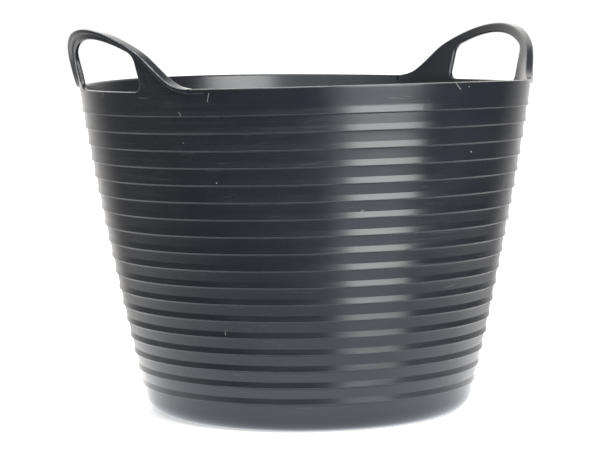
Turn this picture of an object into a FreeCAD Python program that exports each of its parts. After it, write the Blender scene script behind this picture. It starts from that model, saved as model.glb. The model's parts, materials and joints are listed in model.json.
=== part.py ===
import FreeCAD, Part
import os
import Sketcher

# Flexible mixing tub: one moulding with a flat floor, a side wall that steps in under eighteen
# ledges, a plain rim band and two integral loop handles on the X axis. Millimetres, +Z up,
# origin at the centre of the flat underside.
#
# The moulding is divided at its natural lines into a base pan, a stepped wall, a rim band with
# the four handle roots, and two handle loops. A loop meets its roots on a cylinder about the line
# that its legs bend on, so it can turn there and stay clear of them.

SIZES = {
    "rim_radius": 225.0,         # outside of the rim's top edge
    "rim_height": 330.0,         # underside to rim edge
    "rim_thickness": 4.5,        # the rim edge and the web of each handle
    "flare_depth": 12.0,         # the rim band flares outwards over this height
    "ledge_radius": 222.5,       # lip of the top ledge
    "ledge_height": 305.0,       # height of the top lip
    "ledge_pitch": 16.25,        # lip to lip
    "ledge_taper": 2.62,         # how far each lip is inside the one above, at the top
    "ledge_curve": 0.036,        # and how much more, per ledge squared, further down
    "ledge_step": 2.0,           # how far the wall steps in under a lip
    "ledge_drop": 1.8,           # height of that sloping step
    "lip_band": 5.75,            # upright band above each lip
    "lip_flare": 0.25,           # how far a lip stands out from the top of its band
    "wall_thickness": 2.7,       # at the thinnest places, under the ledges
    "base_radius": 157.4,        # underside, measured to the sharp corner before rounding
    "floor_thickness": 4.0,
    "base_round": 13.0,
    "base_round_inside": 9.0,
    "handle_rise": 57.0,         # top of a loop above the rim
    "handle_lean": 0.25,         # outward run for each unit of rise
    "handle_foot": 121.0,        # half the width of a handle at the rim
    "foot_round": 30.0,          # concave curve from the rim into a leg
    "leg_low_half": 100.0,       # half width and rise where that curve ends
    "leg_low_rise": 9.0,
    "shoulder_half": 80.0,       # half width and rise where the top arc begins
    "shoulder_rise": 32.0,
    "top_arc": 140.5,
    "hole_half": 60.5,           # half the width of the hand hole
    "hole_side_rise": 26.0,      # top of its upright sides
    "hole_corner": 9.5,
    "hole_corner_half": 53.0,    # half width and rise where the corner curve meets the top
    "hole_corner_rise": 35.5,
    "hole_arc": 127.0,
    "flange_width": 4.0,         # the turned-out edge of a loop, across its face
    "flange_depth": 4.0,         # and how far it stands out
    "flex_rise": 14.0,           # the line that the legs bend on, above the rim
    "flex_offset": 211.9,        # and its distance from the tub's axis
    "flex_radius": 11.5,         # the roots reach this far round that line
    "flex_gap": 0.3,
}
LEDGES = 18
SECTOR_ANGLE = 72.0    # degrees of a leaning ring that a handle is cut from
BLOCK = 400.0          # larger than the part, for outlines and solids that bound a cut


class Size:
    """A length that knows both its value and the spreadsheet expression that it comes from."""

    def __init__(self, value, text):
        self.value = float(value)
        self.text = text

    def __add__(self, other):
        other = as_size(other)
        return Size(self.value + other.value, f"({self.text} + {other.text})")

    def __sub__(self, other):
        other = as_size(other)
        return Size(self.value - other.value, f"({self.text} - {other.text})")

    def __mul__(self, other):
        other = as_size(other)
        return Size(self.value * other.value, f"({self.text} * {other.text})")

    def __neg__(self):
        return Size(-self.value, f"(-1 * {self.text})")


def as_size(number):
    return number if isinstance(number, Size) else Size(number, repr(float(number)))


ZERO = Size(0.0, "0")


def make_sheet(doc):
    """Fill the sheet with the driving dimensions, one named row each."""
    sheet = doc.addObject("Spreadsheet::Sheet", "Dimensions")
    for row, (name, value) in enumerate(SIZES.items(), start=1):
        sheet.set(f"A{row}", name)
        sheet.set(f"B{row}", str(value))
        sheet.setAlias(f"B{row}", name)
    doc.recompute()
    return sheet


def size(name):
    return Size(SIZES[name], f"Dimensions.{name}")


# ---- sketches and features -------------------------------------------------------------------


def origin_plane(body, role):
    return next(item for item in body.Origin.OriginFeatures if item.Role == role)


def new_sketch(body, name, role):
    sketch = body.newObject("Sketcher::SketchObject", name)
    sketch.AttachmentSupport = (origin_plane(body, role), [""])
    sketch.MapMode = "FlatFace"
    return sketch


def arc_between(start, end, radius):
    """The short arc from start to end that turns left for a positive radius, right for a negative."""
    chord = end - start
    to_left = FreeCAD.Vector(-chord.y, chord.x, 0).normalize()
    height = (radius * radius - chord.Length * chord.Length / 4) ** 0.5
    centre = (start + end) * 0.5 + to_left * (height if radius > 0 else -height)
    circle = Part.Circle(centre, FreeCAD.Vector(0, 0, 1), abs(radius))
    if radius > 0:
        return Part.ArcOfCircle(circle, circle.parameter(start), circle.parameter(end))
    return Part.ArcOfCircle(circle, circle.parameter(end), circle.parameter(start))


def pin(sketch, geometry, corner, kind, length):
    """Fix one end of an edge at its distance from the sketch's origin, bound to the sheet."""
    if length.value < 0:
        length = -length
        constraint = Sketcher.Constraint(kind, geometry, corner, -1, 1, length.value)
    else:
        constraint = Sketcher.Constraint(kind, -1, 1, geometry, corner, length.value)
    fixed = sketch.addConstraint(constraint)
    sketch.setExpression(f"Constraints[{fixed}]", length.text)


def draw_outline(sketch, points):
    """Draw a closed outline. A point is (across, up), or (across, up, radius of the arc after it)."""
    places = [FreeCAD.Vector(point[0].value, point[1].value, 0) for point in points]
    edges = []
    for index, point in enumerate(points):
        start = places[index]
        end = places[(index + 1) % len(points)]
        if len(point) == 2:
            edges.append((sketch.addGeometry(Part.LineSegment(start, end)), 1, 2))
            continue
        radius = point[2]
        edge = sketch.addGeometry(arc_between(start, end, radius.value))
        edges.append((edge, 1, 2) if radius.value > 0 else (edge, 2, 1))
        fixed = sketch.addConstraint(Sketcher.Constraint("Radius", edge, abs(radius.value)))
        sketch.setExpression(f"Constraints[{fixed}]", (radius if radius.value > 0 else -radius).text)
    for index, (edge, start_corner, _) in enumerate(edges):
        last_edge, _, last_corner = edges[index - 1]
        sketch.addConstraint(
            Sketcher.Constraint("Coincident", last_edge, last_corner, edge, start_corner)
        )
        pin(sketch, edge, start_corner, "DistanceX", points[index][0])
        pin(sketch, edge, start_corner, "DistanceY", points[index][1])


def revolve(body, name, points, angle=360.0):
    """Turn an outline of (radius, height) points about the tub's axis."""
    sketch = new_sketch(body, name + "Outline", "XZ_Plane")
    draw_outline(sketch, points)
    feature = body.newObject("PartDesign::Revolution", name)
    feature.Profile = sketch
    feature.ReferenceAxis = (sketch, ["V_Axis"])
    feature.Angle = angle
    feature.Midplane = angle < 360.0
    return feature


def keep_inside(doc, body, name, points):
    """Pocket away all of a body that lies outside an outline seen along X."""
    sketch = new_sketch(body, name + "Outline", "YZ_Plane")
    block = as_size(BLOCK)
    draw_outline(sketch, [(-block, -block), (block, -block), (block, block), (-block, block)])
    draw_outline(sketch, points)
    return pocket(doc, body, name, sketch)


def pocket(doc, body, name, sketch):
    """A pocket through everything, both ways, that is seen to have removed something."""
    doc.recompute()
    before = body.Shape.Volume
    feature = body.newObject("PartDesign::Pocket", name)
    feature.Profile = sketch
    feature.Type = "ThroughAll"
    feature.Midplane = True
    doc.recompute()
    if not body.Shape.Volume < before:
        raise RuntimeError(f"{name} cut nothing")
    return feature


def round_edges(doc, body, name, radius, level):
    """Fillet the circular edges of a body that lie at one height."""
    doc.recompute()
    base = body.Tip
    found = [
        f"Edge{number}"
        for number, edge in enumerate(body.Shape.Edges, start=1)
        if isinstance(edge.Curve, Part.Circle) and abs(edge.Curve.Center.z - level) < 0.01
    ]
    feature = body.newObject("PartDesign::Fillet", name)
    feature.Base = (base, found)
    feature.setExpression("Radius", radius.text)
    return feature


# ---- the tub ---------------------------------------------------------------------------------


def lip(ledge):
    """Radius and height of one ledge's lip, counted from 0 at the top."""
    radius = size("ledge_radius") - size("ledge_taper") * ledge - size("ledge_curve") * ledge**2
    height = size("ledge_height") - size("ledge_pitch") * ledge
    return radius, height


def under(ledge):
    """Where the sloping step under a lip ends and the next band begins."""
    radius, height = lip(ledge)
    return radius - size("ledge_step"), height - size("ledge_drop")


def inside(ledge):
    """The inner face at the height where the step under a lip ends."""
    radius, height = under(ledge)
    return radius - size("wall_thickness"), height


def make_base_pan(doc):
    body = doc.addObject("PartDesign::Body", "BasePan")
    floor = size("floor_thickness")
    wall = size("base_radius") - size("wall_thickness")
    revolve(
        body,
        "BasePanTurned",
        [
            (ZERO, ZERO),
            (size("base_radius"), ZERO),
            under(LEDGES - 1),
            inside(LEDGES - 1),
            (wall, floor),
            (ZERO, floor),
        ],
    )
    round_edges(doc, body, "BaseRoundInside", size("base_round_inside"), floor.value)
    round_edges(doc, body, "BaseRound", size("base_round"), 0.0)
    return body


def make_stepped_wall(doc):
    body = doc.addObject("PartDesign::Body", "SteppedWall")
    outside = [under(0)]
    for ledge in range(1, LEDGES):
        radius, height = lip(ledge)
        outside.append((radius - size("lip_flare"), height + size("lip_band")))
        outside.append((radius, height))
        outside.append(under(ledge))
    inner = [inside(ledge) for ledge in reversed(range(LEDGES))]
    revolve(body, "SteppedWallTurned", outside + inner)
    return body


def make_rim_ring(doc):
    body = doc.addObject("PartDesign::Body", "RimRing")
    rim = size("rim_height")
    flare = rim - size("flare_depth")
    radius, height = lip(0)
    revolve(
        body,
        "RimRingTurned",
        [
            under(0),
            (radius, height),
            (radius, flare),
            (size("rim_radius"), rim),
            (size("rim_radius") - size("rim_thickness"), rim),
            (radius - size("rim_thickness"), flare),
            inside(0),
        ],
    )
    return body


# ---- the handles -----------------------------------------------------------------------------


def above_rim(rise):
    return size("rim_height") + rise


def leaning_layer(body, name, inner, outer):
    """Part of a leaning ring on +X, from the rim up, between two distances from the web's face."""
    top = size("handle_rise") * 1.2
    run = top * size("handle_lean")
    face = size("rim_radius")
    return revolve(
        body,
        name,
        [
            (face + inner, above_rim(ZERO)),
            (face + outer, above_rim(ZERO)),
            (face + outer + run, above_rim(top)),
            (face + inner + run, above_rim(top)),
        ],
        SECTOR_ANGLE,
    )


def loop_outline(inset):
    """The outer edge of a handle seen along X, moved in by an inset, without its straight foot."""
    low_half = size("leg_low_half") - inset
    low_rise = above_rim(size("leg_low_rise") - inset * 0.4)
    high_half = size("shoulder_half") - inset * 0.8
    high_rise = above_rim(size("shoulder_rise") - inset * 0.7)
    foot = size("handle_foot") - inset
    ground = above_rim(-size("flex_gap"))
    foot_arc = -size("foot_round")
    return [
        (foot, ground, foot_arc),
        (low_half, low_rise),
        (high_half, high_rise, size("top_arc") - inset),
        (-high_half, high_rise),
        (-low_half, low_rise, foot_arc),
        (-foot, ground),
    ]


def hole_outline():
    half = size("hole_half")
    side = above_rim(size("hole_side_rise"))
    corner_half = size("hole_corner_half")
    corner = above_rim(size("hole_corner_rise"))
    ground = above_rim(-size("flex_gap"))
    return [
        (half, ground),
        (half, side, size("hole_corner")),
        (corner_half, corner, size("hole_arc")),
        (-corner_half, corner, size("hole_corner")),
        (-half, side),
        (-half, ground),
    ]


def make_handle(doc, side, turn):
    """One whole handle, roots and loop together, as a cut of two bodies."""
    placement = FreeCAD.Placement(FreeCAD.Vector(), FreeCAD.Rotation(FreeCAD.Vector(0, 0, 1), turn))
    slab = doc.addObject("PartDesign::Body", side + "Slab")
    leaning_layer(slab, side + "SlabTurned", -size("rim_thickness"), size("flange_depth"))
    keep_inside(doc, slab, side + "SlabTrim", loop_outline(ZERO))
    hole = new_sketch(slab, side + "HandHoleOutline", "YZ_Plane")
    draw_outline(hole, hole_outline())
    pocket(doc, slab, side + "HandHole", hole)

    recess = doc.addObject("PartDesign::Body", side + "Recess")
    leaning_layer(recess, side + "RecessTurned", ZERO, size("flange_depth") * 1.5)
    keep_inside(doc, recess, side + "RecessTrim", loop_outline(size("flange_width")))

    for body in (slab, recess):
        body.Placement = placement
    handle = doc.addObject("Part::Cut", side + "Handle")
    handle.Base = slab
    handle.Tool = recess
    return handle


def make_flex_zone(doc, name, turn, gap):
    """A barrel about the bending line, and everything under that line, on one side of the tub."""
    barrel = doc.addObject("Part::Cylinder", name + "Barrel")
    barrel.setExpression("Radius", f"Dimensions.flex_radius + {gap.text}")
    barrel.Height = BLOCK
    under_line = doc.addObject("Part::Box", name + "Block")
    under_line.Length = BLOCK
    under_line.Width = BLOCK
    under_line.Height = BLOCK
    offset = size("flex_offset") * (-1 if turn else 1)
    line_height = size("rim_height") + size("flex_rise")
    about_z = FreeCAD.Placement(FreeCAD.Vector(), FreeCAD.Rotation(FreeCAD.Vector(0, 0, 1), turn))
    lay_down = FreeCAD.Rotation(FreeCAD.Vector(1, 0, 0), 90)
    barrel.Placement = about_z.multiply(FreeCAD.Placement(FreeCAD.Vector(0, BLOCK / 2, 0), lay_down))
    barrel.setExpression("Placement.Base.x", offset.text)
    barrel.setExpression("Placement.Base.z", line_height.text)
    under_line.Placement = about_z.multiply(
        FreeCAD.Placement(FreeCAD.Vector(0, -BLOCK / 2, 0), FreeCAD.Rotation())
    )
    under_line.setExpression("Placement.Base.z", (line_height - BLOCK).text)
    zone = doc.addObject("Part::Fuse", name)
    zone.Base = barrel
    zone.Tool = under_line
    return zone


def split_handle(doc, side, handle, turn):
    """Divide a handle into the roots that stay on the rim and the loop that turns."""
    roots = doc.addObject("Part::Common", side + "Roots")
    roots.Base = handle
    roots.Tool = make_flex_zone(doc, side + "RootZone", turn, ZERO)
    loop = doc.addObject("Part::Cut", side + "Loop")
    loop.Base = handle
    loop.Tool = make_flex_zone(doc, side + "LoopZone", turn, size("flex_gap"))
    return roots, loop


# ---- build and write -------------------------------------------------------------------------


def check(doc, parts):
    doc.recompute()
    for item in doc.Objects:
        if {"Invalid", "Error"} & set(item.State):
            raise RuntimeError(f"{item.Name} failed: {item.State}")
    for part in parts:
        if part.Shape.isNull() or not part.Shape.isValid():
            raise RuntimeError(f"{part.Label} has no valid shape")
        print(part.Label, len(part.Shape.Solids), "solids", round(part.Shape.Volume), "mm3")


def main():
    doc = FreeCAD.newDocument("MixingTub")
    make_sheet(doc)
    base_pan = make_base_pan(doc)
    stepped_wall = make_stepped_wall(doc)
    rim_ring = make_rim_ring(doc)
    roots = []
    loops = []
    for side, turn in (("right", 0.0), ("left", 180.0)):
        handle = make_handle(doc, side, turn)
        side_roots, loop = split_handle(doc, side, handle, turn)
        roots.append(side_roots)
        loops.append(loop)
    rim_band = doc.addObject("Part::MultiFuse", "RimBand")
    rim_band.Shapes = [rim_ring] + roots
    labels = {
        "base_pan": base_pan,
        "stepped_wall": stepped_wall,
        "rim_band": rim_band,
        "right_handle": loops[0],
        "left_handle": loops[1],
    }
    for label, part in labels.items():
        part.Label = label
    check(doc, labels.values())
    os.makedirs("parts", exist_ok=True)
    for label, part in labels.items():
        part.Shape.exportStep(os.path.join("parts", label + ".step"))


main()
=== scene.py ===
import json
import math

import bpy
import numpy as np
from mathutils import Matrix, Vector


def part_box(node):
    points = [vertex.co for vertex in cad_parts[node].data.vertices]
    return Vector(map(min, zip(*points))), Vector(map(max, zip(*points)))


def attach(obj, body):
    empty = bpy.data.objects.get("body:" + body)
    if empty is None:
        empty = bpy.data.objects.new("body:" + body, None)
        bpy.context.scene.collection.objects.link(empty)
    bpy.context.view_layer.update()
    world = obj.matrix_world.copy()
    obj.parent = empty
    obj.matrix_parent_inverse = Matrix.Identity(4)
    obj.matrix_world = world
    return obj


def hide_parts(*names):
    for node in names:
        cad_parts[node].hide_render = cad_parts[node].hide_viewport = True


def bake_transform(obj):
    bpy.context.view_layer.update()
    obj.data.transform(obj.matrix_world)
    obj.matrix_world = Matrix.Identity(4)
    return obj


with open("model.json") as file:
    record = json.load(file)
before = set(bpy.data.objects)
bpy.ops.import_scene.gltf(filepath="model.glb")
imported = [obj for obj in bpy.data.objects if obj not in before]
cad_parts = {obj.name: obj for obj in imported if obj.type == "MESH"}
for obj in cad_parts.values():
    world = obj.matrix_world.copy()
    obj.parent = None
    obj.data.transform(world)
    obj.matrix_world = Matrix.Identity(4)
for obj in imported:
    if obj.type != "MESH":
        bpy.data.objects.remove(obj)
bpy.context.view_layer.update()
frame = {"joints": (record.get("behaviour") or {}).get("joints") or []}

# The visual model of the flexible mixing tub: a shell that stands for the base pan and the stepped
# wall, and the rim band with its two handles, each half of it one mesh. Metres, in the frame's own axes: X
# through the handles, Z up.

MM = 0.001
UP = Vector((0, 0, 1))

# A ledge is a lip that stands out over a crease. They are numbered down from the rim band's, 0.
WALL_LOW, WALL_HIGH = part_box("stepped_wall")
LEDGES = 18
PITCH = (WALL_HIGH.z - WALL_LOW.z) / (LEDGES - 1)
CAD_STEP_DOWN = 1.8 * MM                        # the CAD's wall ends this far under the top lip
TOP_LIP = WALL_HIGH.z + CAD_STEP_DOWN
TOP_LIP_RADIUS = 222.5 * MM
TAPER, TAPER_MORE = 2.62, 0.036                 # mm inwards for a ledge's number and its square
STEP_IN, STEP_DOWN = 2.0 * MM, 1.25 * MM        # from a lip to its crease
LIP_BAND, LIP_FLARE = 5.75 * MM, 0.25 * MM      # the nearly upright band above a lip
LIP_HIGH, LIP_BACK = 0.8 * MM, 0.03 * MM        # the lowest part of that band
# LIP_WEAR_AND_GLINT is a lip's share of the pale edge colour: a little rubbing, and a painted highlight
# along the lip's bright line.
LIP_ROUND, LIP_WEAR_AND_GLINT = 0.42 * MM, 0.39
LIP_BAND_ROUND, CREASE_ROUND = 1.2 * MM, 0.5 * MM
WALL = 2.7 * MM
BASE_RADIUS, BASE_ROUND = 160.2 * MM, 23.0 * MM
FLOOR, INSIDE_ROUND = 4.0 * MM, 18.0 * MM
BAND_HIGH = 25.0 * MM                           # from the top lip to the rim
RIM = TOP_LIP + BAND_HIGH
AROUND = 360                                    # columns of the shell


# ---- camera and light ------------------------------------------------------------------------

VIEW_AZIMUTH = math.radians(29.5)
CAMERA_DISTANCE, CAMERA_HEIGHT = 2.25, 0.395
PAN, PITCH_DOWN, ROLL = 0.0031, 0.0934, 0.01315
LENS, SENSOR_WIDTH, CLIP_END = 134.0, 36.0, 50.0
AWAY = Vector((math.sin(VIEW_AZIMUTH), math.cos(VIEW_AZIMUTH), 0))
ACROSS = Vector((math.cos(VIEW_AZIMUTH), -math.sin(VIEW_AZIMUTH), 0))
SOFTBOXES = (
    # name, azimuth, elevation, distance, width, height, power, height of the point that it faces
    ("key", 38.5, 12, 1.7, 1.1, 1.2, 35, 0.25),
    ("front_high", -4, 42, 2.6, 2.2, 0.9, 20, 0.3),
)

# Strengths of what shows in reflections: the backdrop behind the tub, a lit wedge at the camera's
# right, the left side, all the rest, and two windows, high behind the camera and behind the tub.
BACKDROP_LIGHT, WEDGE_LIGHT, SIDE_LIGHT, FRONT_LIGHT = 1.3, 1.9, 0.18, 0.08
WINDOW_LIGHT, FAR_WINDOW_SHARE = 2.4, 0.4
COOL, WARM = (0.92, 0.98, 1.06, 1.0), (1.0, 0.98, 0.96, 1.0)

BACKGROUND, BACKGROUND_STRENGTH = (1.0, 1.0, 1.0, 1.0), 1.02     # seen by the camera
FLOOR_HALF, FLOOR_DROP = 12.0, 0.0004
FLOOR_COLOUR, FLOOR_GLOW = (0.9, 0.9, 0.9, 1.0), 0.5


def make_camera():
    ahead = AWAY * math.cos(PAN) - ACROSS * math.sin(PAN)
    right = ACROSS * math.cos(PAN) + AWAY * math.sin(PAN)
    forward = ahead * math.cos(PITCH_DOWN) - UP * math.sin(PITCH_DOWN)
    up = ahead * math.sin(PITCH_DOWN) + UP * math.cos(PITCH_DOWN)
    rolled_up = up * math.cos(ROLL) + right * math.sin(ROLL)
    rolled_right = right * math.cos(ROLL) - up * math.sin(ROLL)
    data = bpy.data.cameras.new("camera")
    data.lens = LENS
    data.sensor_width = SENSOR_WIDTH
    data.clip_end = CLIP_END
    camera = bpy.data.objects.new("camera", data)
    turn = Matrix((rolled_right, rolled_up, -forward)).transposed()
    camera.matrix_world = Matrix.Translation(-AWAY * CAMERA_DISTANCE + UP * CAMERA_HEIGHT) @ turn.to_4x4()
    bpy.context.scene.collection.objects.link(camera)
    bpy.context.scene.camera = camera


def softbox(name, azimuth, elevation, distance, width, height, power, aim_height):
    """An area light that faces the tub. Azimuth is in degrees to the right of the camera."""
    a, e = math.radians(azimuth), math.radians(elevation)
    level = -AWAY * math.cos(a) + ACROSS * math.sin(a)
    data = bpy.data.lights.new(name, "AREA")
    data.shape = "RECTANGLE"
    data.size, data.size_y = width, height
    data.energy = power
    light = bpy.data.objects.new(name, data)
    aim = UP * aim_height
    light.location = aim + (level * math.cos(e) + UP * math.sin(e)) * distance
    light.rotation_euler = (aim - light.location).to_track_quat("-Z", "Y").to_euler()
    bpy.context.scene.collection.objects.link(light)


class Nodes:
    """A short way to write a node tree."""

    def __init__(self, tree):
        self.tree = tree
        tree.nodes.clear()

    def add(self, kind, settings=None, **inputs):
        node = self.tree.nodes.new(kind)
        for key, value in (settings or {}).items():
            setattr(node, key, value)
        for key, value in inputs.items():
            self.put(node, key, value)
        return node

    def put(self, node, key, value):
        socket = node.inputs[int(key[1:])] if key[0] == "i" and key[1:].isdigit() else node.inputs[key]
        if isinstance(value, bpy.types.Node):
            value = value.outputs[0]
        if isinstance(value, bpy.types.NodeSocket):
            self.tree.links.new(value, socket)
        else:
            socket.default_value = value

    def math(self, operation, a, b=0.0, c=0.0, clamp=False):
        settings = {"operation": operation, "use_clamp": clamp}
        return self.add("ShaderNodeMath", settings, i0=a, i1=b, i2=c)

    def remap(self, value, low, high, to_low=0.0, to_high=1.0, smooth=False):
        settings = {"interpolation_type": "SMOOTHSTEP" if smooth else "LINEAR"}
        return self.add("ShaderNodeMapRange", settings, i0=value, i1=low, i2=high, i3=to_low, i4=to_high)

    def scaled(self, vector, scale):
        return self.add("ShaderNodeMapping", None, Vector=vector, Scale=scale)

    def noise(self, vector, scale, detail=3.0, roughness=0.5):
        return self.add(
            "ShaderNodeTexNoise", None, Vector=vector, Scale=scale, Detail=detail, Roughness=roughness
        ).outputs["Fac"]

    def by_degrees(self, angle, low, high, to_low=0.0, to_high=1.0, smooth=False):
        """A remap of an angle, with its limits in degrees."""
        return self.remap(angle, math.radians(low), math.radians(high), to_low, to_high, smooth)

    def dot(self, vector, axis):
        settings = {"operation": "DOT_PRODUCT"}
        return self.add("ShaderNodeVectorMath", settings, i0=vector, i1=tuple(axis)).outputs["Value"]

    def mix(self, factor, a, b):
        return self.add("ShaderNodeMix", {"data_type": "RGBA"}, i0=factor, i6=a, i7=b).outputs[2]


def room_light(n, direction, height):
    """How bright the room looks in a reflection, in which colour, and how far from the camera's side.

    It is dark and cool in front, with the lit wedge at the right, and pale and warm behind."""
    flat = n.scaled(direction, (1.0, 1.0, 0.0))
    level = n.add("ShaderNodeVectorMath", {"operation": "NORMALIZE"}, i0=flat)
    azimuth = n.math("ARCTAN2", n.dot(level, ACROSS), n.math("MULTIPLY", n.dot(level, AWAY), -1.0))
    aside = n.math("ABSOLUTE", azimuth)
    backdrop = n.by_degrees(aside, 112, 165, 0.0, BACKDROP_LIGHT, smooth=True)
    wedge = n.math(
        "MULTIPLY",
        n.by_degrees(azimuth, 7, 20, 0.0, WEDGE_LIGHT, smooth=True),
        n.by_degrees(azimuth, 37, 65, 1.0, 0.0, smooth=True),
    )
    wedge = n.math("MULTIPLY", wedge, n.remap(height, -0.05, 0.12, 1.0, 0.0, smooth=True))
    left_side = n.by_degrees(azimuth, -45, -95, 0.0, SIDE_LIGHT, smooth=True)
    bright = n.math("ADD", n.math("ADD", backdrop, wedge), n.math("ADD", left_side, FRONT_LIGHT))
    return bright, n.mix(n.by_degrees(aside, 45, 125), COOL, WARM), aside


def make_world():
    world = bpy.data.worlds.new("studio")
    bpy.context.scene.world = world
    world.use_nodes = True
    n = Nodes(world.node_tree)
    direction = n.add("ShaderNodeTexCoord").outputs["Generated"]
    height = n.add("ShaderNodeSeparateXYZ", None, Vector=direction).outputs["Z"]
    level, colour, aside = room_light(n, direction, height)
    window = n.math(
        "MULTIPLY", n.remap(height, 0.1, 0.24, smooth=True), n.remap(height, 0.3, 0.5, 1.0, 0.1)
    )
    window = n.math("MULTIPLY", window, n.by_degrees(aside, 32, 62, 1.0, 0.2))
    far_window = n.math(
        "MULTIPLY", n.remap(height, 0.15, 0.35, 0.0, FAR_WINDOW_SHARE), n.by_degrees(aside, 95, 125)
    )
    windows = n.math("MULTIPLY", n.math("ADD", window, far_window), WINDOW_LIGHT)
    room = n.add("ShaderNodeBackground", None, Color=colour, Strength=n.math("ADD", level, windows))
    plain = n.add("ShaderNodeBackground", None, Color=BACKGROUND, Strength=BACKGROUND_STRENGTH)
    by_camera = n.add("ShaderNodeLightPath").outputs["Is Camera Ray"]
    mixed = n.add("ShaderNodeMixShader", None, i0=by_camera, i1=room, i2=plain)
    n.add("ShaderNodeOutputWorld", None, Surface=mixed)


def make_floor():
    mesh = bpy.data.meshes.new("studio_floor")
    corners = [(x * FLOOR_HALF, y * FLOOR_HALF, 0) for x, y in ((-1, -1), (1, -1), (1, 1), (-1, 1))]
    mesh.from_pydata(corners, [], [(0, 1, 2, 3)])
    floor = bpy.data.objects.new("studio_floor", mesh)
    floor.location.z = -FLOOR_DROP
    bpy.context.scene.collection.objects.link(floor)
    material = bpy.data.materials.new("studio_floor")
    material.use_nodes = True
    n = Nodes(material.node_tree)
    place = n.add("ShaderNodeTexCoord").outputs["Object"]
    reach = n.add("ShaderNodeVectorMath", {"operation": "LENGTH"}, i0=place).outputs["Value"]
    room, colour, aside = room_light(n, place, 0.0)
    far_edge = n.by_degrees(aside, 35, 100, 0.85, 1.6)
    near = n.math("POWER", n.remap(reach, 0.16, far_edge, 1.0, 0.0), 3.0)
    shaded = n.remap(reach, 0.15, 0.23, 1.6, 2.9)
    lit = n.math("MAXIMUM", n.math("MULTIPLY", near, shaded), room)
    pale = n.add("ShaderNodeBsdfDiffuse", None, Color=FLOOR_COLOUR)
    glow = n.add("ShaderNodeEmission", None, Strength=FLOOR_GLOW)
    seen = n.add("ShaderNodeAddShader", None, i0=pale, i1=glow)
    in_gloss = n.add("ShaderNodeEmission", None, Color=colour, Strength=lit)
    glossy = n.add("ShaderNodeLightPath").outputs["Is Glossy Ray"]
    mixed = n.add("ShaderNodeMixShader", None, i0=glossy, i1=seen, i2=in_gloss)
    n.add("ShaderNodeOutputMaterial", None, Surface=mixed)
    mesh.materials.append(material)


make_camera()
bpy.context.scene.view_settings.view_transform = "Standard"
make_world()
make_floor()
for box in SOFTBOXES:
    softbox(*box)


# ---- profiles --------------------------------------------------------------------------------

SHARED_TRIM, OWN_TRIM = 0.49, 0.95      # most of a run that a rounding takes, if both ends have one
FOOT_RING, RING_SLOPE, RECESS = 128 * MM, 2.5 * MM, 1.4 * MM
UNDER_ROUND = 1.2 * MM
UNDER_RADII = (95, 62, 61.2, 59.8, 59, 30)
GROOVE_RADII, GROOVE_DEEP = (61.2, 59.8), 0.5 * MM
GATE_FOOT, GATE_TOP, GATE_OUT = 9 * MM, 7.5 * MM, 0.7 * MM
INNERMOST = 2 * MM                      # a flat face closes each profile inside this radius
FLOOR_RADII = (25, 26, 27.5, 60, 95, 125)
FLOOR_BEAD_RADIUS, FLOOR_BEAD = 26, 0.35 * MM
SIDE_SHARE = 0.12                       # of the way from the last crease to the base's corner
INNER_FOOT = -0.5 * MM, -4.0 * MM       # (out, up) from the last crease, less the wall
INNER_LOW = -0.2 * MM, -2.2 * MM        # the soft step inside each crease
INNER_HIGH = 0.35 * MM, 0.3 * MM


def lip(ledge):
    inwards = (TAPER * ledge + TAPER_MORE * ledge**2) * MM
    return TOP_LIP_RADIUS - inwards, TOP_LIP - PITCH * ledge


def crease(ledge):
    radius, height = lip(ledge)
    return radius - STEP_IN, height - STEP_DOWN


def rounded(points):
    """A polyline with its corners rounded. A point is (r, z, radius, steps, wear); wear is its share of the
    pale edge colour, rubbing and painted highlight.
    """
    found = []
    last = len(points) - 1
    for i, (r, z, radius, steps, wear_and_glint) in enumerate(points):
        here = np.array((r, z))
        if not radius or i in (0, last):
            found.append((r, z, wear_and_glint))
            continue
        back = np.array(points[i - 1][:2]) - here
        on = np.array(points[i + 1][:2]) - here
        back_length, on_length = np.linalg.norm(back), np.linalg.norm(on)
        back, on = back / back_length, on / on_length
        half = math.acos(max(-1.0, min(1.0, float(back @ on)))) / 2
        room = [
            length * (SHARED_TRIM if points[j][2] else OWN_TRIM)
            for length, j in ((back_length, i - 1), (on_length, i + 1))
        ]
        trim = min(radius / math.tan(half), *room)
        radius = trim * math.tan(half)
        middle = (back + on) / np.linalg.norm(back + on)
        centre = here + middle * (radius / math.sin(half))
        start, end = here + back * trim - centre, here + on * trim - centre
        for step in range(steps + 1):
            share = step / steps
            spoke = start * (1 - share) + end * share
            spoke *= radius / np.linalg.norm(spoke)
            found.append((*(centre + spoke), wear_and_glint))
    return found


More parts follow.
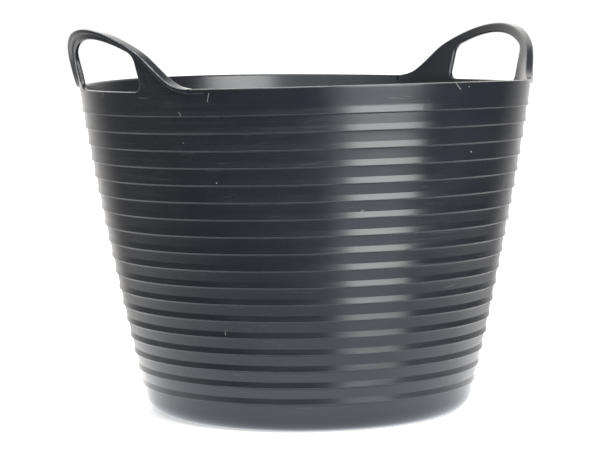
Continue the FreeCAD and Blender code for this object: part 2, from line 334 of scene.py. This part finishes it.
def shell_outside():
    """From the top crease down the outside and in to the centre of the underside."""
    points = [(*crease(0), 0, 0, 0)]
    for ledge in range(1, LEDGES):
        radius, height = lip(ledge)
        above = crease(ledge - 1)
        band_top = (radius - LIP_FLARE, height + LIP_BAND)
        middle = ((above[0] + band_top[0]) / 2, (above[1] + band_top[1]) / 2)
        points.append((*middle, 0, 0, 0))
        points.append((*band_top, LIP_BAND_ROUND, 1, 0.0))
        points.append((radius - LIP_BACK, height + LIP_HIGH, 0, 0, 0.0))
        points.append((radius, height, LIP_ROUND, 2, LIP_WEAR_AND_GLINT))
        points.append((*crease(ledge), CREASE_ROUND, 1, 0))
    radius, height = crease(LEDGES - 1)
    points.append((radius + (BASE_RADIUS - radius) * SIDE_SHARE, height * (1 - SIDE_SHARE), 0, 0, 0))
    points.append((BASE_RADIUS, 0, BASE_ROUND, 9, 0.25))
    points.append((FOOT_RING, 0, UNDER_ROUND, 2, 0.3))
    points.append((FOOT_RING - RING_SLOPE, RECESS, UNDER_ROUND, 2, 0))
    for radius in UNDER_RADII:
        lower = GROOVE_DEEP if radius in GROOVE_RADII else 0
        points.append((radius * MM, RECESS - lower, 0, 0, 0))
    points.append((GATE_FOOT, RECESS, 0.8 * MM, 1, 0))
    points.append((GATE_TOP, RECESS - GATE_OUT, 0.4 * MM, 1, 0.3))
    points.append((INNERMOST, RECESS - GATE_OUT, 0, 0, 0))
    return rounded(points)


def shell_inside():
    """From the centre of the floor up to the top crease."""
    points = [(INNERMOST, FLOOR, 0, 0, 0)]
    for radius in FLOOR_RADII:
        higher = FLOOR_BEAD if radius == FLOOR_BEAD_RADIUS else 0
        points.append((radius * MM, FLOOR + higher, 0, 0, 0))
    points.append((BASE_RADIUS - WALL, FLOOR, INSIDE_ROUND, 6, 0))
    radius, height = crease(LEDGES - 1)
    points.append((radius - WALL + INNER_FOOT[0], height + INNER_FOOT[1], 0, 0, 0))
    for ledge in reversed(range(1, LEDGES)):
        radius, height = crease(ledge)
        points.append((radius - WALL + INNER_LOW[0], height + INNER_LOW[1], 1.5 * MM, 1, 0))
        points.append((radius - WALL + INNER_HIGH[0], height + INNER_HIGH[1], 1.0 * MM, 1, 0.15))
    radius, height = crease(0)
    points.append((radius - WALL, height, 0, 0, 0))
    return rounded(points)


# ---- how the real moulding departs from the ideal one ----------------------------------------

SADDLE = 1.9 * MM                               # the rim is lower at the handles, higher between them
OVAL, OVAL_TOWARDS = 1.2 * MM, -VIEW_AZIMUTH
FREE_RADIUS = 0.15                              # the oval and the waves fade out inside this
WAVES_FROM, WAVES_GROW = 0.01, 0.03             # height where the waves start, and to be at their full
draw = np.random.default_rng(7)
WAVES = [       # (times round, phase, drift with height, depth)
    (m, draw.uniform(0, 2 * math.pi), draw.uniform(-60, 60), 0.42 * MM / (m + 2))
    for m in (2, 3, 4, 5, 7, 9, 12, 15, 19, 24, 31)
]
LIP_WAVES = [   # (times round, each ledge's phase, depth)
    (m, draw.uniform(0, 2 * math.pi, LEDGES), 0.9 * MM / (m + 14))
    for m in (5, 9, 14, 22, 33, 47)
]
LIP_UP, LIP_OUT, LIP_OUT_LATER = 0.45, 0.5, 1.3  # shares of a lip wave's depth, and a phase


def moulded(places, lips):
    """Bends the rim like a saddle, makes the wall oval and slightly wavy and its lips slightly uneven.

    lips is each point's share in the lip of the ledge given with it: (share, ledge)."""
    x, y, z = places.T
    angle = np.arctan2(y, x)
    reach = np.hypot(x, y)
    height = np.clip(z / RIM, 0, 1)
    free = np.clip(reach / FREE_RADIUS, 0, 1) ** 2
    out = np.zeros(len(x))
    for m, phase, drift, depth in WAVES:
        out += depth * np.cos(m * angle + phase + drift * z)
    out *= free * np.clip((z - WAVES_FROM) / WAVES_GROW, 0, 1)
    out += OVAL * np.cos(2 * (angle - OVAL_TOWARDS)) * free
    lift = -SADDLE * np.cos(2 * angle) * height
    share, ledge = lips
    for m, phases, depth in LIP_WAVES:
        turn = m * angle + phases[ledge]
        lift += share * depth * LIP_UP * np.cos(turn)
        out += share * depth * LIP_OUT * np.sin(turn + LIP_OUT_LATER)
    scale = (reach + out) / np.maximum(reach, 1e-9)
    return np.stack([x * scale, y * scale, z + lift], axis=1)


# ---- meshes ----------------------------------------------------------------------------------


def corner_normals(places, faces):
    """Normals at the points, each face counted by its area. They aren't of unit length."""
    total = np.zeros_like(places)
    for size in {len(face) for face in faces}:
        some = np.array([face for face in faces if len(face) == size])
        at = places[some]
        area = np.zeros((len(some), 3))
        for i in range(1, size - 1):
            area += np.cross(at[:, i] - at[:, 0], at[:, i + 1] - at[:, 0])
        for i in range(size):
            np.add.at(total, some[:, i], area)
    return total


def unit(vectors):
    return vectors / np.maximum(np.linalg.norm(vectors, axis=1), 1e-12)[:, None]


def make_piece(name, places, faces, hidden_faces, rest, wear_and_glint, normals, material):
    """A piece whose material follows "rest", the places before any bend, and "wear", the share of the pale
    edge colour: rubbing and painted highlight.
    """
    mesh = bpy.data.meshes.new(name)
    mesh.from_pydata(places.tolist(), [], faces + hidden_faces)
    mesh.polygons.foreach_set("use_smooth", [True] * len(mesh.polygons))
    mesh.materials.append(material)
    attribute = mesh.attributes.new("rest", "FLOAT_VECTOR", "POINT")
    attribute.data.foreach_set("vector", rest.astype(np.float32).ravel())
    attribute = mesh.attributes.new("wear_and_glint", "FLOAT", "POINT")
    attribute.data.foreach_set("value", np.asarray(wear_and_glint, np.float32))
    mesh.normals_split_custom_set_from_vertices(unit(normals).tolist())
    mesh.update()
    piece = bpy.data.objects.new(name, mesh)
    bpy.context.scene.collection.objects.link(piece)
    return piece


def make_shell(material):
    """The base pan and the stepped wall as one closed mesh, with a hidden ring under the rim band."""
    outside, inside = shell_outside(), shell_inside()
    r, z, wear_and_glint = (np.array(column) for column in zip(*outside, *inside))
    angle = np.arange(AROUND) * 2 * math.pi / AROUND
    x, y = r[:, None] * np.cos(angle), r[:, None] * np.sin(angle)
    rest = np.stack([x.ravel(), y.ravel(), np.repeat(z, AROUND)], axis=1)
    wear_and_glint = np.repeat(wear_and_glint, AROUND)
    ledge = np.clip(np.round((TOP_LIP - rest[:, 2]) / PITCH), 0, LEDGES - 1).astype(int)
    on_lip = np.where(wear_and_glint == LIP_WEAR_AND_GLINT, 1.0, 0.0)
    places = moulded(rest, (on_lip, ledge))

    rings = [row * AROUND for row in range(len(z))]
    around = [(j, (j + 1) % AROUND) for j in range(AROUND)]
    under_centre, floor_centre = rings[len(outside) - 1], rings[len(outside)]
    faces = []
    for a, b in zip(rings, rings[1:]):
        if a != under_centre:
            faces += [(a + j, b + j, b + k, a + k) for j, k in around]
    faces.append(tuple(under_centre + j for j in reversed(range(AROUND))))
    faces.append(tuple(floor_centre + j for j in range(AROUND)))
    cap = [(rings[-1] + j, j, k, rings[-1] + k) for j, k in around]
    normals = corner_normals(places, faces)
    return make_piece("tub_shell", places, faces, cap, rest, wear_and_glint, normals, material)


# ---- rim and handles -------------------------------------------------------------------------

# Across is along Y, rise is up from the rim, out is away from the outer face.
THICK = 4.5 * MM
LEAN, BAND_LEAN = 0.25, 0.13                    # metres outwards for each metre up
LEANS_OVER = 11.2 * MM                          # rise over which the one becomes the other
BAND_FOOT = -BAND_HIGH + LIP_BAND
CREASE_DOWN = RIM - TOP_LIP + STEP_DOWN         # from the rim to the top crease
BAND_THINNER = 0.2 * MM                         # the inner face's set-back at the top crease
BAND_BEND = 0.6 * MM                            # half the height of the corner at the band's foot
HOLE_DIP, HOLE_FOOT_ROUND, HOLE_HALF = 2.5 * MM, 7.0 * MM, 60.5 * MM
LEFT_HOLE_WIDER = 1.09
FOOT_HALF = 121.0 * MM

EDGE = 1.2 * MM                                 # from the hand hole to the web's first point
EDGE_OUTSIDE = (0.70, 0.10), (0.30, 0.35), (0.05, 0.90), (0.0, 1.6)     # mm (inwards, down from the face)
EDGE_INSIDE = (0.0, 1.1), (0.35, 0.35)          # mm (inwards, up from the inner face)
# Each edge point's share of the pale edge colour, from the outer face round to the inner one: rubbing, and
# a painted highlight on the rounded corner.
EDGE_WEAR_AND_GLINT = (0.8, 1.0, 0.7, 0.0, 0.2, 0.9)
PLAIN_EDGE_WEAR_AND_GLINT = 0.62                          # of the rim and the hand holes, against a handle's; rubbing and painted highlight

FLANGE_OUT = 4.0 * MM
FLANGE_FADES = 106.0 * MM, 138.0 * MM           # from this far across, along the rim
FLANGE_AT = np.array((5.2, 4.5, 4.15, 4.0, 3.6, 2.8, 1.2)) * MM
FLANGE_HIGH = np.array((0.0, 0.05, 0.2, 0.78, 0.95, 1.0, 1.0))

BEAD = 0.7 * MM                                 # round the hand hole, where the web is wide
BEAD_WIDTHS, BEAD_RISES = (14 * MM, 24 * MM), (1 * MM, 8 * MM)
BEAD_POINTS = 3.0, 5.0
WEB_FROM_HOLE = np.array((0.0, 1.5, 4.5, 7.4, 8.4, 9.2, 10.2)) * MM
WEB_NEAR_SHARE = 0.6                            # most of the web's width that those points take
WEB_REST = 6
WEB_COUNT = len(WEB_FROM_HOLE) + WEB_REST

# Where the ribs' spacing changes along the outline and the hand hole, in mm, and the ribs between.
OUTLINE_KEYS = ((121, 0), (100, 9), (80, 32), (66, 41), (0, 57))
HOLE_KEYS = ((53.5, -2.5), (60.5, 9), (60.5, 25), (54.5, 34.5), (0, 47.1))
RIB_COUNTS = (12, 12, 7, 24)
LINE_SPACING = 0.25 * MM
OUTLINE_SMOOTH, HOLE_SMOOTH = 5.0 * MM, 1.6 * MM

BAND_ROWS = 12
PLAIN_COLUMNS, COLUMNS_CLOSER = 60, 1.06        # from a handle's foot to the end of the half
HOLE_COLUMNS = 30
STRAIGHT_FADES = 0.25                           # radians past a handle's foot
TINY = 1e-9

BAND_LIP = rounded([
    (TOP_LIP_RADIUS - STEP_IN, -CREASE_DOWN, 0, 0, 0),
    (TOP_LIP_RADIUS, -CREASE_DOWN + STEP_DOWN, LIP_ROUND, 2, LIP_WEAR_AND_GLINT),
    (TOP_LIP_RADIUS - LIP_BACK, -CREASE_DOWN + STEP_DOWN + LIP_HIGH, 0, 0, 0.0),
])


def face_radius(rise):
    """Radius of the outer face of the rim band and of the handles."""
    over = np.clip(rise, 0, LEANS_OVER)
    more = over**2 / (2 * LEANS_OVER) + np.maximum(rise - LEANS_OVER, 0)
    lip_part = LIP_FLARE * np.clip((BAND_FOOT - rise) / LIP_BAND, 0, 1)
    band_part = BAND_LEAN * np.maximum(rise - BAND_FOOT, 0)
    return TOP_LIP_RADIUS - LIP_FLARE + lip_part + band_part + (LEAN - BAND_LEAN) * more


def arc(centre, radius, start, end, count):
    turn = np.radians(np.linspace(start, end, count))
    return np.stack([centre[0] + radius * np.cos(turn), centre[1] + radius * np.sin(turn)], axis=1)


def smoothed(line, reach):
    """A polyline resampled evenly and smoothed over a length, with its ends kept."""
    along = np.concatenate([[0], np.cumsum(np.linalg.norm(np.diff(line, axis=0), axis=1))])
    at = np.linspace(0, along[-1], int(along[-1] / LINE_SPACING) + 1)
    even = np.stack([np.interp(at, along, line[:, k]) for k in (0, 1)], axis=1)
    half = int(3 * reach / LINE_SPACING)
    kernel = np.exp(-0.5 * (np.arange(-half, half + 1) * LINE_SPACING / reach) ** 2)
    kernel /= kernel.sum()
    before = 2 * even[0] - even[half:0:-1]
    after = 2 * even[-1] - even[-2 : -half - 2 : -1]
    after[:, 1] = even[-2 : -half - 2 : -1, 1]      # the top is level, where the halves meet
    padded = np.concatenate([before, even, after])
    return np.stack([np.convolve(padded[:, k], kernel, "valid") for k in (0, 1)], axis=1)


def outer_line():
    """Half of a handle's outline, from its foot to its top: (across, rise)."""
    low, shoulder = np.array((100.0, 9.0)), np.array((80.0, 32.0))
    foot = arc((121.0, 30.0), 30.0, 270, 227, 24)
    top = arc((0.0, -83.5), 140.5, 55.3, 90, 60)
    return smoothed(np.concatenate([foot, [low * 0.4 + shoulder * 0.6], top]) * MM, OUTLINE_SMOOTH)


def hole_line():
    """Half of the hand hole's outline, from its lower edge round the leg to its top."""
    half, dip, foot = HOLE_HALF / MM, -HOLE_DIP / MM, HOLE_FOOT_ROUND / MM
    corner = arc((half - foot, dip + foot), foot, 270, 360, 16)
    upper = arc((half - 10.5, 25.5), 10.5, 0, 62, 16)
    top = arc((0.0, -79.9), 127.0, 66, 90, 50)
    return smoothed(np.concatenate([corner, upper, top]) * MM, HOLE_SMOOTH)


def normals_of(line, left):
    step = unit(np.gradient(line, axis=0))
    return np.stack([-step[:, 1], step[:, 0]], axis=1) * (1 if left else -1)


def pick(line, keys):
    """Indices along a line, evenly spaced between the points of it nearest to the keys."""
    marks = [int(np.argmin(np.linalg.norm(line - np.array(key) * MM, axis=1))) for key in keys]
    found = [np.linspace(a, b, n, endpoint=False) for a, b, n in zip(marks, marks[1:], RIB_COUNTS)]
    return np.concatenate(found + [[marks[-1]]])


def sample(line, at):
    low = np.clip(np.floor(at).astype(int), 0, len(line) - 2)
    share = (at - low)[:, None]
    return line[low] * (1 - share) + line[low + 1] * share


def rise_in(value, low, high):
    """A smooth step from 0 to 1."""
    t = np.clip((value - low) / (high - low), 0, 1)
    return t * t * (3 - 2 * t)


def flange_height(across):
    return FLANGE_OUT * (1 - rise_in(abs(across), *FLANGE_FADES))


def edge_of(place, inward, high):
    """The edge round from the outer face, which is high out, to the inner one: (across, rise, out)."""
    outside = [(*(place + inward * aside * MM), high - down * MM) for aside, down in EDGE_OUTSIDE]
    return outside + [(*(place + inward * aside * MM), -THICK + up * MM) for aside, up in EDGE_INSIDE]


def half_ribs(wider):
    """Cross sections of half a handle, from its foot to its top.

    Each has the web's points (across, rise, out) from the hole to the outline, and both edges."""
    outline, hole = outer_line(), hole_line() * np.array((wider, 1.0))
    outline_in, hole_in = normals_of(outline, True), normals_of(hole, False)
    o_at = pick(outline, OUTLINE_KEYS)
    h_at = pick(hole, [(across * wider, rise) for across, rise in HOLE_KEYS])
    o_places, o_inward = sample(outline, o_at), unit(sample(outline_in, o_at))
    h_places, h_inward = sample(hole, h_at), unit(sample(hole_in, h_at))
    h_inward[0] = o_inward[0] = o_inward[-1] = (0, -1)
    h_inward[-1] = (0, 1)
    ribs = []
    for o, o_in, h, h_in in zip(o_places, o_inward, h_places, h_inward):
        start = h + h_in * EDGE
        flange = o + o_in * FLANGE_AT[:, None]
        width = np.linalg.norm(flange[0] - start)
        near = WEB_FROM_HOLE * min(1.0, WEB_NEAR_SHARE * width / WEB_FROM_HOLE[-1]) / width
        far = near[-1] + (1 - near[-1]) * np.arange(1, WEB_REST + 1) / (WEB_REST + 1)
        shares = np.concatenate([near, far])[:, None]
        web = start + (flange[0] - start) * shares
        bead = rise_in(width, *BEAD_WIDTHS) * rise_in(h[1], *BEAD_RISES)
        out = BEAD * bead * (1 - rise_in(np.arange(len(web)), *BEAD_POINTS))
        out[0] = 0
        high = flange_height(o[0])
        line = np.concatenate([web, flange])
        outs = np.concatenate([out, high * FLANGE_HIGH])
        ribs.append({
            "web": [(*p, e) for p, e in zip(line, outs)],
            "back": [(*p, -THICK) for p in line],
            "outline": edge_of(o, o_in, high),
            "hole": edge_of(h, h_in, 0.0),
        })
    return ribs


def make_ribs(wider):
    """Cross sections from the +Y foot over the top to the -Y foot, whose side of the hole is wider."""
    mirrored = [
        {key: [(-a, b, c) for a, b, c in points] for key, points in rib.items()}
        for rib in reversed(half_ribs(wider)[:-1])
    ]
    return half_ribs(1.0) + mirrored


class Rim:
    """The +X half of the rim band with its handle, as one closed mesh."""

    def __init__(self, wider):
        self.places = []
        self.wear_and_glint = []
        self.lips = []
        self.faces = []
        self.hidden = []
        self.build(make_ribs(wider))

    def point(self, across, rise, out, straight, wear_and_glint=0.0, on_lip=0.0):
        """Across and rise are of the outer face; straight tells how far out runs along X, not outwards."""
        radius = face_radius(rise)
        side = across * (1 + (1 - straight) * out / radius)
        depth = math.sqrt(max((radius + out) ** 2 - side**2, 0.0))
        if abs(abs(across) - radius) < TINY:
            depth = 0.0
        self.places.append((depth, side, RIM + rise))
        self.wear_and_glint.append(wear_and_glint)
        self.lips.append(on_lip)
        return len(self.places) - 1

    def strip(self, first, second):
        for i in range(len(first) - 1):
            self.faces.append((first[i], first[i + 1], second[i + 1], second[i]))

    def column(self, angle, across, top, edge, straight, flange=None):
        """The ring's points at one angle: outer ones upwards, the edge's, inner ones downwards.

        across is set where the top lies on a handle's web, edge where the column ends in an edge, and
        flange, the height of the turned-out edge, where it has that."""
        sine = math.sin(angle)

        def side_at(rise, at_top=False):
            return across if at_top and across is not None else sine * face_radius(rise)

        outer = []
        for radius, rise, wear_and_glint in BAND_LIP:
            out = radius - TOP_LIP_RADIUS
            outer.append(self.point(sine * TOP_LIP_RADIUS, rise, out, 0.0, wear_and_glint, 1.0 if wear_and_glint else 0.0))
        outer.append(self.point(side_at(BAND_FOOT - BAND_BEND), BAND_FOOT - BAND_BEND, 0.0, straight))
        for row, rise in enumerate(np.linspace(BAND_FOOT + BAND_BEND, top, BAND_ROWS), 1):
            outer.append(self.point(side_at(rise, row == BAND_ROWS), rise, 0.0, straight))
        above = []
        if flange is not None:
            above = list(zip(-FLANGE_AT[1:], flange * FLANGE_HIGH[1:]))
            outer += [self.point(side_at(rise), rise, out, straight) for rise, out in above]
        rim = []
        if edge is not None:
            side = side_at(edge, True)
            corners = edge_of(np.array((0.0, edge)), np.array((0.0, -1.0)), flange or 0.0)
            for wear_and_glint, (_, rise, out) in zip(EDGE_WEAR_AND_GLINT, corners):
                rim.append(self.point(side, rise, out, straight, PLAIN_EDGE_WEAR_AND_GLINT * wear_and_glint))
        inner = [self.point(side_at(rise), rise, -THICK, straight) for rise, _ in reversed(above)]
        for row in range(BAND_ROWS + 1):
            rise = top + (-CREASE_DOWN - top) * row / BAND_ROWS
            thin = BAND_THINNER * max(0.0, (BAND_FOOT - rise) / (CREASE_DOWN + BAND_FOOT))
            share = 1 - row / BAND_ROWS
            inner.append(self.point(side_at(rise, row == 0), rise, -THICK - thin, straight * share))
        return outer, rim, inner

    def build(self, ribs):
        foot_angle = math.asin(FOOT_HALF / face_radius(0.0))
        plain = [
            foot_angle + (math.pi / 2 - foot_angle) * (i / PLAIN_COLUMNS) ** COLUMNS_CLOSER
            for i in range(PLAIN_COLUMNS + 1)
        ]

        def plain_column(angle):
            away = abs(angle)
            straight = 1 - rise_in(away, foot_angle, foot_angle + STRAIGHT_FADES)
            high = flange_height(math.sin(away) * face_radius(0.0))
            return "rim", self.column(angle, None, -FLANGE_AT[0], 0.0, straight, high)

        def foot_column(across, rise, at_hole):
            angle = math.asin(across / face_radius(rise))
            edge = -HOLE_DIP if at_hole else None
            return "hole" if at_hole else "foot", self.column(angle, across, rise, edge, 1.0)

        def foot_columns(rib):
            return [
                foot_column(across, rise, index == 0)
                for index, (across, rise, _) in enumerate(rib["web"][:WEB_COUNT])
            ]

        minus, plus = foot_columns(ribs[-1]), foot_columns(ribs[0])
        hole_top = -HOLE_DIP - EDGE
        last, first = (
            math.asin(rib["web"][0][0] / face_radius(hole_top)) for rib in (ribs[-1], ribs[0])
        )
        minus_plain = [plain_column(-angle) for angle in plain]
        plus_plain = [plain_column(angle) for angle in plain]
        between = []
        for i in range(1, HOLE_COLUMNS):
            angle = last + (first - last) * i / HOLE_COLUMNS
            between.append(("hole", self.column(angle, None, hole_top, -HOLE_DIP, 1.0)))
        columns = [*reversed(minus_plain), *reversed(minus), *between, *plus, *plus_plain]

        for (kind_a, a), (kind_b, b) in zip(columns, columns[1:]):
            rows, inner_rows = min(len(a[0]), len(b[0])), min(len(a[2]), len(b[2]))
            self.strip(b[0][:rows], a[0][:rows])
            self.strip(b[2][-inner_rows:], a[2][-inner_rows:])
            edge_a, edge_b = a[1], b[1]
            if edge_a and edge_b and kind_a == kind_b:
                self.strip([b[0][-1], *edge_b, b[2][0]], [a[0][-1], *edge_a, a[2][0]])
            self.hidden.append((a[0][0], b[0][0], b[2][-1], a[2][-1]))
        for (_, (outer, rim, inner)), turn in ((columns[0], False), (columns[-1], True)):
            loop = [*outer, *rim, *inner]
            self.hidden.append(tuple(reversed(loop)) if turn else tuple(loop))

        def foot_row(feet, junction):
            outer, edge, inner = junction
            flange = len(FLANGE_AT)
            return {
                "web": [column[0][-1] for _, column in feet] + outer[-flange:],
                "back": [column[2][0] for _, column in feet] + inner[flange - 1 :: -1],
                "outline": edge,
                "hole": feet[0][1][1],
            }

        rows = [foot_row(plus, plus_plain[0][1])]
        # Each part's share of the pale edge colour: rubbing, and a painted highlight on the edges.
        worn_and_glint = {"web": 0.0, "back": 0.0, "outline": 1.0, "hole": PLAIN_EDGE_WEAR_AND_GLINT}
        for rib in ribs[1:-1]:
            rows.append({
                key: [
                    self.point(*p, 1.0, worn_and_glint[key] * EDGE_WEAR_AND_GLINT[i % len(EDGE_WEAR_AND_GLINT)])
                    for i, p in enumerate(points)
                ]
                for key, points in rib.items()
            })
        rows.append(foot_row(minus, minus_plain[0][1]))
        for a, b in zip(rows, rows[1:]):
            loops = []
            for row in (a, b):
                back, hole = reversed(row["back"]), reversed(row["hole"])
                loops.append([*row["web"], *row["outline"], *back, *hole, row["web"][0]])
            self.strip(loops[1], loops[0])


def make_rims(material):
    """Both halves of the rim band, the -X one built as a mirror image that is moulded on its own."""
    made = []
    for name, side, wider in (("right_rim_handle", 1, 1.0), ("left_rim_handle", -1, LEFT_HOLE_WIDER)):
        rim = Rim(wider)
        rest = np.array(rim.places) * np.array((side, 1, 1))
        faces = rim.faces if side > 0 else [face[::-1] for face in rim.faces]
        hidden = rim.hidden if side > 0 else [face[::-1] for face in rim.hidden]
        places = moulded(rest, (np.array(rim.lips), np.zeros(len(rest), int)))
        normals = corner_normals(places, faces)
        made.append((name, places, faces, hidden, rest, np.array(rim.wear_and_glint), normals))
    seams = [np.flatnonzero(np.abs(piece[4][:, 0]) < TINY) for piece in made]
    shared = sum(piece[6][seam] for piece, seam in zip(made, seams))
    for piece, seam in zip(made, seams):
        piece[6][seam] = shared
    return [make_piece(*piece, material) for piece in made]


# ---- plastic ---------------------------------------------------------------------------------

# Nicks that stand out: (degrees round the tub, height, length, slope in degrees), lengths in mm.
NICKS = [
    (-151, 307, 4.0, -55),
    (-143, 322, 8.0, 75),
    (-80, 326, 8.5, -42),
    (-179, 324, 4.0, 60),
    (-145, 98, 3.0, 88),
    (-105, 214, 3.0, 20),
]
NICK_HALF_WIDTH, NICK_END = (0.2 * MM, 0.5 * MM), 0.4 * MM      # solid and faded, and how it ends

DARK = (0.0081, 0.0095, 0.0127, 1.0)
PALE = (0.0115, 0.0132, 0.0166, 1.0)
SCUFFED = (0.034, 0.036, 0.039, 1.0)
# WORN_AND_GLINT, the pale edge colour, is partly rubbed plastic and partly a painted highlight on rounded
# edges and lips.
WORN_AND_GLINT = (0.300, 0.305, 0.312, 1.0)
SCRATCHED = (0.12, 0.12, 0.12, 1.0)
DUST = (0.5, 0.49, 0.47, 1.0)
NICKED = (0.36, 0.35, 0.33, 1.0)
WORN_AND_GLINT_SHARE, SCRATCHED_SHARE, NICKED_SHARE = 0.8, 0.24, 0.4

# How often the patterns repeat in a metre along X, Y and Z.
STREAKS, DENTS, SCRATCHES = (7.0, 7.0, 420.0), (24.0, 24.0, 45.0), (26.0, 26.0, 900.0)
SCRATCH_TILTS = ((0.0, 0.0, 0.0), (0.09, -0.05, 0.0), (-0.06, 0.08, 0.0))
STREAKS_HIGH, DENTS_HIGH, GRAIN_HIGH, SCRATCH_DEEP = 0.12, 1.8, 0.3, 0.5
BUMP_STRENGTH, BUMP_DISTANCE = 0.35, 0.00012
IOR, SPECULAR = 1.51, 0.5


def nick(n, rest, degrees, height, length, slope):
    """1 on a short line on one side of the tub, 0 elsewhere."""
    turn, tilt = math.radians(degrees), math.radians(slope)
    radial = Vector((math.cos(turn), math.sin(turn), 0))
    level = Vector((-math.sin(turn), math.cos(turn), 0))
    along = level * math.cos(tilt) + UP * math.sin(tilt)
    over = UP * math.cos(tilt) - level * math.sin(tilt)
    offset = n.add("ShaderNodeVectorMath", {"operation": "SUBTRACT"}, i0=rest, i1=tuple(UP * height * MM))
    past_end = n.math("SUBTRACT", n.math("ABSOLUTE", n.dot(offset, along)), length / 2 * MM)
    aside = n.math("ABSOLUTE", n.dot(offset, over))
    solid, faded = NICK_HALF_WIDTH
    line = n.math("MULTIPLY", n.remap(past_end, NICK_END, 0.0), n.remap(aside, faded, solid))
    return n.math("MULTIPLY", line, n.remap(n.dot(offset, radial), 0.1, 0.11))


def scratches(n, rest, cloud):
    """1 on short level scratches in some places, 0 elsewhere."""
    found = None
    for tilt in SCRATCH_TILTS:
        tilted = n.add("ShaderNodeVectorRotate", {"rotation_type": "EULER_XYZ"}, Vector=rest, Rotation=tilt)
        thin = n.remap(n.noise(n.scaled(tilted, SCRATCHES), 1.0, 1.0, 0.4), 0.75, 0.785)
        found = thin if found is None else n.math("MAXIMUM", found, thin)
    return n.math("MULTIPLY", found, n.remap(cloud, 0.42, 0.6))


def flecks(n, rest):
    """1 on a few specks of dust, 0 elsewhere."""
    cells = n.add("ShaderNodeTexVoronoi", None, Vector=rest, Scale=95.0, Randomness=1.0)
    chosen = n.add("ShaderNodeSeparateColor", None, Color=cells.outputs["Color"])
    speck = n.remap(cells.outputs["Distance"], 0.075, 0.045)
    return n.math("MULTIPLY", speck, n.remap(chosen.outputs[0], 0.955, 0.965))


def make_plastic():
    """Dark blue-grey low-density polyethylene, satin, with moulding lines, scuffs and rubbed edges, whose
    pale colour is partly a painted highlight.
    """
    material = bpy.data.materials.new("tub_plastic")
    material.use_nodes = True
    n = Nodes(material.node_tree)
    rest = n.add("ShaderNodeAttribute", {"attribute_name": "rest"}).outputs["Vector"]
    # wear: the share of the pale edge colour, rubbing and painted highlight
    wear_and_glint = n.add("ShaderNodeAttribute", {"attribute_name": "wear_and_glint"}).outputs["Fac"]

    cloud = n.noise(rest, 14.0, 4.0, 0.55)
    streaks = n.noise(n.scaled(rest, STREAKS), 1.0, 3.0, 0.6)
    dents = n.noise(n.scaled(rest, DENTS), 1.0, 2.0, 0.5)
    grain = n.noise(rest, 900.0, 2.0, 0.5)
    scuff_place = n.remap(n.noise(rest, 9.0, 2.0), 0.5, 0.68, smooth=True)
    scratch = scratches(n, rest, cloud)
    patchy = n.remap(n.noise(rest, 70.0, 3.0, 0.6), 0.35, 0.65, 0.35, 1.0)
    # The pale edges, in patches: rubbed plastic, and a painted highlight along edges and lips.
    worn_and_glint = n.math("MULTIPLY", n.remap(wear_and_glint, 0.3, 1.0), patchy)

    scuff = n.math("MULTIPLY", scuff_place, n.remap(streaks, 0.5, 0.8, 0.0, 0.3))
    colour = n.mix(n.remap(cloud, 0.3, 0.72), DARK, PALE)
    colour = n.mix(scuff, colour, SCUFFED)
    # Painted highlight and rubbing on the edges, in the pale edge colour.
    colour = n.mix(n.math("MULTIPLY", worn_and_glint, WORN_AND_GLINT_SHARE), colour, WORN_AND_GLINT)
    colour = n.mix(n.math("MULTIPLY", scratch, SCRATCHED_SHARE), colour, SCRATCHED)
    colour = n.mix(flecks(n, rest), colour, DUST)
    for place in NICKS:
        colour = n.mix(n.math("MULTIPLY", nick(n, rest, *place), NICKED_SHARE), colour, NICKED)

    rough = n.remap(cloud, 0.3, 0.7, 0.2, 0.27)
    rough = n.math("ADD", rough, n.math("MULTIPLY", scuff_place, n.remap(streaks, 0.4, 0.7, 0.0, 0.1)))
    rough = n.math("ADD", rough, n.math("MULTIPLY", worn_and_glint, 0.08), clamp=True)

    height = n.math("MULTIPLY", n.math("SUBTRACT", streaks, 0.5), STREAKS_HIGH)
    height = n.math("ADD", height, n.math("MULTIPLY", dents, DENTS_HIGH))
    height = n.math("ADD", height, n.math("MULTIPLY", grain, GRAIN_HIGH))
    height = n.math("SUBTRACT", height, n.math("MULTIPLY", scratch, SCRATCH_DEEP))
    bump = n.add("ShaderNodeBump", None, Strength=BUMP_STRENGTH, Distance=BUMP_DISTANCE, Height=height)

    surface = {"Base Color": colour, "Roughness": rough, "Normal": bump, "IOR": IOR}
    shader = n.add("ShaderNodeBsdfPrincipled", None, **surface, **{"Specular IOR Level": SPECULAR})
    n.add("ShaderNodeOutputMaterial", None, Surface=shader)
    return material


plastic = make_plastic()
shell = make_shell(plastic)
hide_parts("base_pan", "stepped_wall")
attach(shell, "tub")
right, left = make_rims(plastic)
for piece, handle, loop, joint in (
    (right, "right_handle", "right_loop", frame["joints"][0]),
    (left, "left_handle", "left_loop", frame["joints"][1]),
):
    pivot = Vector(joint["pos_m"])
    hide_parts("rim_band", handle)
    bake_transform(piece)
